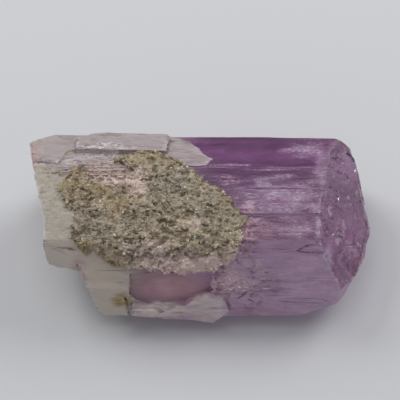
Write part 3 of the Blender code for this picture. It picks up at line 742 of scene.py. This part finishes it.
def crystal_values(points, faces, sharp):
    """The crystal's colour and clearness from place to place."""
    x, y, _ = points.T
    end = end_face(points)
    sheet = on_sheets(points)
    deep, rough, splintered, fracture, chip = marked_places(points)
    wander = (layered(points / (6.0, 2.0, 2.0), 4, 30) - 0.5) * 7.0
    front = fade(-9.0, -14.0, y) * fade(-15.5, -10.0, x) * (x < 6.0)
    violet = np.maximum(fade(-15.0, 4.0, x + wander), front * 0.55)
    violet = violet * (1 - sheet) * (1 - 0.9 * spots(points, PINK_PATCH, seed=75))
    frost = spots(points, FROST, uneven=0.7, seed=80, soft=0.9) * (1 - 0.7 * sheet)
    # Painted light: faces turned towards the front get a lighter painted tone and less clearness
    painted_front_light = fade(0.1, 0.7, -facings(points, faces)[:, 1]) * (1 - end)
    window = spots(points, WINDOW, uneven=0.1)
    stain = spots(points, IRON_STAIN, uneven=0.5, seed=95)
    bump = ridges(points, faces)
    broken_up = np.maximum(fade(0.50, 0.75, noise(points / (2.4, 0.5, 0.5), 260)), 0.6 * end)
    clouded = (
        painted_front_light * 0.55,
        end * 0.15,
        window * 0.7,
        frost * 0.4,
        chip * 0.7,
        fracture,
        rough * 0.9,
        splintered * 0.8,
        stain,
        sheet * 0.8,
        (1 - violet) * 0.76,
    )
    return {
        "violet": violet,
        "deep": deep * (1 - sheet),
        "front": painted_front_light,
        "end": end,
        "window": window,
        "frost": frost,
        "chip": chip,
        "fracture": fracture,
        "rough": rough,
        "splintered": splintered,
        "rose": spots(points, ROSE, seed=90),
        "stain": stain,
        # Painted highlights: near-white lines along the ridges and sharp edges, broken up in places
        "painted_edge_highlight": np.maximum(fade(0.04, 0.14, bump), sharp * broken_up) * (1 - 0.7 * rough),
        # Painted shade: a darker tone where the surface sinks into grooves
        "painted_groove_shade": fade(0.03, 0.12, -bump) * (1 - 0.7 * rough),
        "sheet": sheet,
        "cloudy": np.maximum.reduce(clouded),
    }


# The crust


def small_shape(make, **settings):
    """The points and triangles of a small solid."""
    work = bmesh.new()
    make(work, **settings)
    bmesh.ops.triangulate(work, faces=work.faces)
    work.verts.index_update()
    points = np.array([vert.co for vert in work.verts])
    faces = np.array([[vert.index for vert in face.verts] for face in work.faces])
    work.free()
    return points, faces


def turns(count, rng):
    """Random turns in space, as matrices."""
    quarters = rng.normal(size=(4, count))
    w, x, y, z = quarters / np.linalg.norm(quarters, axis=0)
    rows = [
        [1 - 2 * (y * y + z * z), 2 * (x * y - z * w), 2 * (x * z + y * w)],
        [2 * (x * y + z * w), 1 - 2 * (x * x + z * z), 2 * (y * z - x * w)],
        [2 * (x * z - y * w), 2 * (y * z + x * w), 1 - 2 * (x * x + y * y)],
    ]
    return np.array(rows).transpose(2, 0, 1)


def grains(places, sizes, rng):
    """Small grains at the places, about half of them chunks and half thick plates, each of its own shape and
    turn: their points and triangles, and the place that each point belongs to."""
    chunk = small_shape(bmesh.ops.create_cube, size=0.8)
    tapered = {"segments": 5, "radius1": 0.62, "radius2": 0.52, "depth": 0.42}
    plate = small_shape(bmesh.ops.create_cone, cap_ends=True, **tapered)
    chosen = rng.random(len(places)) < 0.55
    points, faces, owners, start = [], [], [], 0
    for (shape, triangles), mask in ((chunk, chosen), (plate, ~chosen)):
        count = mask.sum()
        stretch = rng.uniform(0.6, 1.4, (count, 1, 3))
        uneven = rng.uniform(0.7, 1.2, (count, len(shape), 1))
        solid = shape[None] * stretch * uneven * sizes[mask][:, None, None]
        solid = np.einsum("nij,nkj->nki", turns(count, rng), solid) + places[mask][:, None]
        points.append(solid.reshape(-1, 3))
        faces.append((triangles[None] + np.arange(count)[:, None, None] * len(shape)).reshape(-1, 3) + start)
        owners.append(np.repeat(np.flatnonzero(mask), len(shape)))
        start += count * len(shape)
    return np.vstack(points), np.vstack(faces), np.concatenate(owners)


def spread(points, faces, count, weight, rng):
    """Places spread over the surface by weight, and the way out there."""
    (a, b, c), ways = corners_and_ways(points, faces)
    area = np.linalg.norm(ways, axis=1)
    share = area * weight
    picked = rng.choice(len(faces), count, p=share / share.sum())
    u, v = rng.random((2, count, 1))
    over = u + v > 1
    u, v = np.where(over, 1 - u, u), np.where(over, 1 - v, v)
    place = a[picked] + (b[picked] - a[picked]) * u + (c[picked] - a[picked]) * v
    return place, ways[picked] / np.maximum(area[picked], 1e-9)[:, None]


def crust_skin(points, faces):
    """The crust's fused lumps with a worn rim and a rough skin: the mesh, and how lumpy, how rough and how
    light it is at each point."""
    points, faces = refined(points, faces, lambda middles: np.full((len(middles), 3), SKIN_EDGE))
    out = facings(points, faces)
    # The rim is the part of the top that is close to the steep sides
    wall = nearest_finder(points, np.flatnonzero(out[:, 2] < 0.35))
    rim = np.array([math.exp(-wall.find(point)[2] / 0.8) for point in points]) * fade(0.2, 0.6, out[:, 2])
    points[:, 2] -= rim * RIM_WORN
    out = facings(points, faces)
    lumpy = fade(0.32, 0.46, layered(points / (1.0, 0.8, 0.8), 4, 290))
    coarse, tone = facets(points / 0.75, 300, 1.2)
    rough = coarse * 0.6 + facets(points / 0.42, 320, 1.2)[0] * 0.4
    points = points - out * (rough * 0.35 + (1 - lumpy) * 0.6)[:, None]
    return points, faces, lumpy, rough, tone


def grains_on_top(points, faces, lumpy, rng):
    """The places and sizes of the grains on the crust, most of them on its lumps."""
    ways = unit(corners_and_ways(points, faces)[1])
    outer = fade(-0.15, 0.25, ways @ np.array([0.0, -0.35, 0.94]))
    place, facing = spread(points, faces, GRAINS_ON_TOP, outer * (0.12 + lumpy[faces].mean(axis=1)), rng)
    size = 0.20 + 0.38 * rng.random(len(place)) ** 1.7
    return place - facing * (size * 0.30)[:, None], size


def grains_at_edge(points, crystal_points, crystal_faces, rng):
    """The places and sizes of the grains that lie on the crystal, close to the crust's points and on grainy
    ground."""
    near = nearest_finder(points, range(len(points)))
    (a, b, c), ways = corners_and_ways(crystal_points, crystal_faces)
    middle = (a + b + c) / 3
    ways = unit(ways)
    low, high = points.min(axis=0) - 3, points.max(axis=0) + 3
    inside = ((middle > low) & (middle < high)).all(axis=1) & (ways[:, 2] > -0.2)
    closeness = np.zeros(len(middle))
    for index in np.flatnonzero(inside):
        closeness[index] = math.exp(-((near.find(middle[index])[2] / 0.75) ** 2))
    low_side = 1 + 2.5 * fade(-6, -11, middle[:, 1]) * fade(-12, -8, middle[:, 0])
    ground = spots(middle, GRAINY_GROUND, seed=63) * fade(0.2, -0.1, ways[:, 1])
    weight = closeness * inside * low_side + 0.25 * ground
    place = spread(crystal_points, crystal_faces, GRAINS_AT_EDGE, weight, rng)[0]
    return place, rng.uniform(0.15, 0.40, len(place))


def crust(crystal_points, crystal_faces):
    """The crust's skin and all its grains as one mesh, with its colours from place to place."""
    rng = np.random.default_rng(5)
    solid_points, solid_faces = shape_of("mica_crust")
    points, faces, lumpy, rough, tone = crust_skin(solid_points, solid_faces)
    top_places, top_sizes = grains_on_top(points, faces, lumpy, rng)
    edge_places, edge_sizes = grains_at_edge(points, crystal_points, crystal_faces, rng)
    places = np.vstack([top_places, edge_places])
    sizes = np.concatenate([top_sizes, edge_sizes])
    grain_points, grain_faces, owners = grains(places, sizes, rng)
    every_point = np.vstack([points, grain_points])
    every_point[:, 2] = np.minimum(every_point[:, 2], solid_points[:, 2].max())

    # Each grain has one lightness, a few small ones shine and are painted near white as glints, and a few are
    # dark specks
    light = np.clip(rng.normal(0.5, 0.24, len(places)), 0, 1)
    shine = (rng.random(len(places)) < 0.05) * (sizes < 0.42)
    dark = (rng.random(len(places)) < 0.12 + 0.22 * spots(places, GREY_CRUST, seed=360)) * (sizes < 0.46)
    dark[len(top_places) :] = False
    light[len(top_places) :] = 0.45 + 0.55 * light[len(top_places) :]
    pale_grains_and_painted_glints = np.maximum(fade(0.72, 1.0, light), shine)
    skin = np.zeros(len(points))
    brown = spots(every_point, BROWN_CRUST, seed=350)
    grey = spots(every_point, GREY_CRUST, seed=360)
    on_ground = spots(every_point, GRAINY_GROUND, uneven=0.0)
    pink = np.maximum(spots(every_point, PINK_CRUST, seed=370), on_ground)
    pitted = 0.35 + 0.65 * fade(0.40, 0.60, layered(every_point / 4.5, 3, 340))
    # Painted shade: the skin is darkened where it sinks between the lumps and on its roughest facets, in
    # patches
    painted_pit_shade = (0.15 + 0.75 * np.maximum(fade(0.45, 0.9, rough), 1 - lumpy)) * pitted[: len(points)]
    specks = dark[owners] * (0.55 + 0.4 * grey[len(points) :])
    values = {
        "tone": np.concatenate([0.15 + 0.6 * tone, light[owners]]),
        "pale_grains_and_painted_glints": np.concatenate([skin, pale_grains_and_painted_glints[owners]]),
        "brown": brown,
        "grey": grey,
        "pink": pink,
        "shaded_pits_and_dark_specks": np.concatenate([painted_pit_shade, specks]) * (1 - 0.45 * pink) * (1 - 0.4 * brown),
        "shine": np.concatenate([skin, shine[owners].astype(float)]),
    }
    return every_point, np.vstack([faces, grain_faces + len(points)]), values


# The studio


def set_up_studio():
    """A pale matt table, soft lights on the left, on the right and overhead, and the camera, which looks
    down at 60 degrees."""
    floor_mesh = bpy.data.meshes.new("table_top")
    work = bmesh.new()
    bmesh.ops.create_grid(work, x_segments=1, y_segments=1, size=3.0)
    work.to_mesh(floor_mesh)
    work.free()
    floor = bpy.data.objects.new("table_top", floor_mesh)
    floor.location.z = -0.04 * MM
    bpy.context.scene.collection.objects.link(floor)
    made, tree = new_material("pale_matt_table")
    matt = {"Base Color": linear("D8D9DC"), "Roughness": 0.9}
    surface = add(tree, "ShaderNodeBsdfPrincipled", None, matt)
    add(tree, "ShaderNodeOutputMaterial", None, {"Surface": surface.outputs[0]})
    floor_mesh.materials.append(made)

    world = bpy.data.worlds.new("room")
    bpy.context.scene.world = world
    world.use_nodes = True
    background = world.node_tree.nodes["Background"].inputs
    background["Color"].default_value = linear("DDDEE3")
    background["Strength"].default_value = 0.38

    for name, place, size, power in (
        ("left_softbox", (-0.38, 0.30, 0.44), 0.36, 1.46),
        ("right_softbox", (0.38, 0.30, 0.44), 0.36, 1.46),
        ("overhead_softbox", (-0.05, 0.08, 0.62), 0.36, 0.50),
    ):
        lamp = bpy.data.lights.new(name, "AREA")
        lamp.shape = "DISK"
        lamp.size = size
        lamp.energy = power
        light = bpy.data.objects.new(name, lamp)
        light.location = place
        light.rotation_euler = (-Vector(place)).to_track_quat("-Z", "Y").to_euler()
        bpy.context.scene.collection.objects.link(light)

    camera = bpy.data.objects.new("camera", bpy.data.cameras.new("camera"))
    bpy.context.scene.collection.objects.link(camera)
    camera.data.lens = 153.9
    camera.data.sensor_width = 36.0
    camera.data.clip_start = 0.01
    look_at = Vector((0.0, 0.0063, 0.0120))
    down = math.radians(60.0)
    back = Vector((0.0, -math.cos(down), math.sin(down)))
    camera.location = look_at + back * 0.35
    camera.rotation_euler = (-back).to_track_quat("-Z", "Y").to_euler()
    bpy.context.scene.camera = camera
    bpy.context.scene.view_settings.view_transform = "Standard"


crystal_points, crystal_faces, crystal_ridges = crystal_mesh(*shape_of("kunzite_crystal"))
crystal_colours = crystal_values(crystal_points, crystal_faces, crystal_ridges)
crystal = made_object("striated_kunzite", crystal_points, crystal_faces, crystal_colours, crisp=22.0)
crystal.data.materials.append(kunzite(crystal_colours))
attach(crystal, "root")
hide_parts("kunzite_crystal")

crust_points, crust_faces, crust_colours = crust(crystal_points, crystal_faces)
grain_crust = made_object("granular_crust", crust_points, crust_faces, crust_colours)
grain_crust.data.materials.append(granular_mica(crust_colours))
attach(grain_crust, "root")
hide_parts("mica_crust")

set_up_studio()
